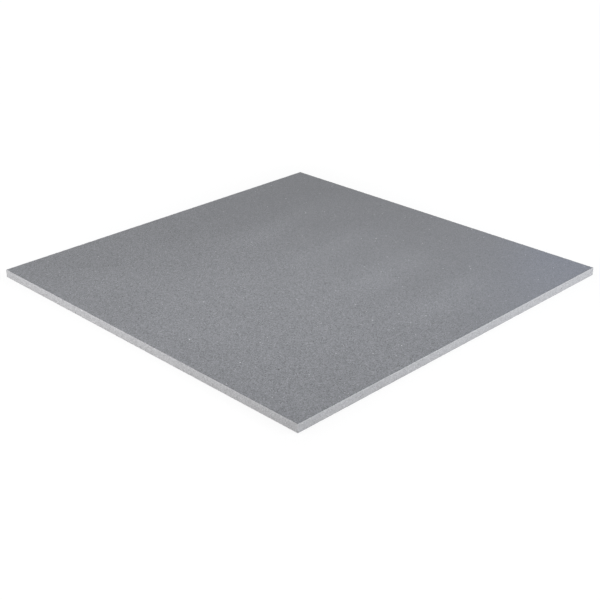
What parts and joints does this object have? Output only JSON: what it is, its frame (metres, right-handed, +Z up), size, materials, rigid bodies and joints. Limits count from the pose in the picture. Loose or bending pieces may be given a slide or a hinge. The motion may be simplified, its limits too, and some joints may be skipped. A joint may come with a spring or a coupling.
{
  "type": "terrazzo floor tile",
  "caption": "Square grey micro-terrazzo floor tile, sawn and calibrated in one piece, with a honed wear face, bevelled arrises and paler sawn sides.",
  "frame": {"origin": "centre of the bedding face, on the floor the tile lies on", "axes": "+Z up out of the wear face; +X and +Y square to the sawn sides"},
  "size_m": [0.6, 0.6, 0.012],
  "materials": {
    "micro_terrazzo": "satin"
  },
  "bodies": {
    "root": {"terrazzo_tile": "micro_terrazzo"}
  },
  "joints": []
}
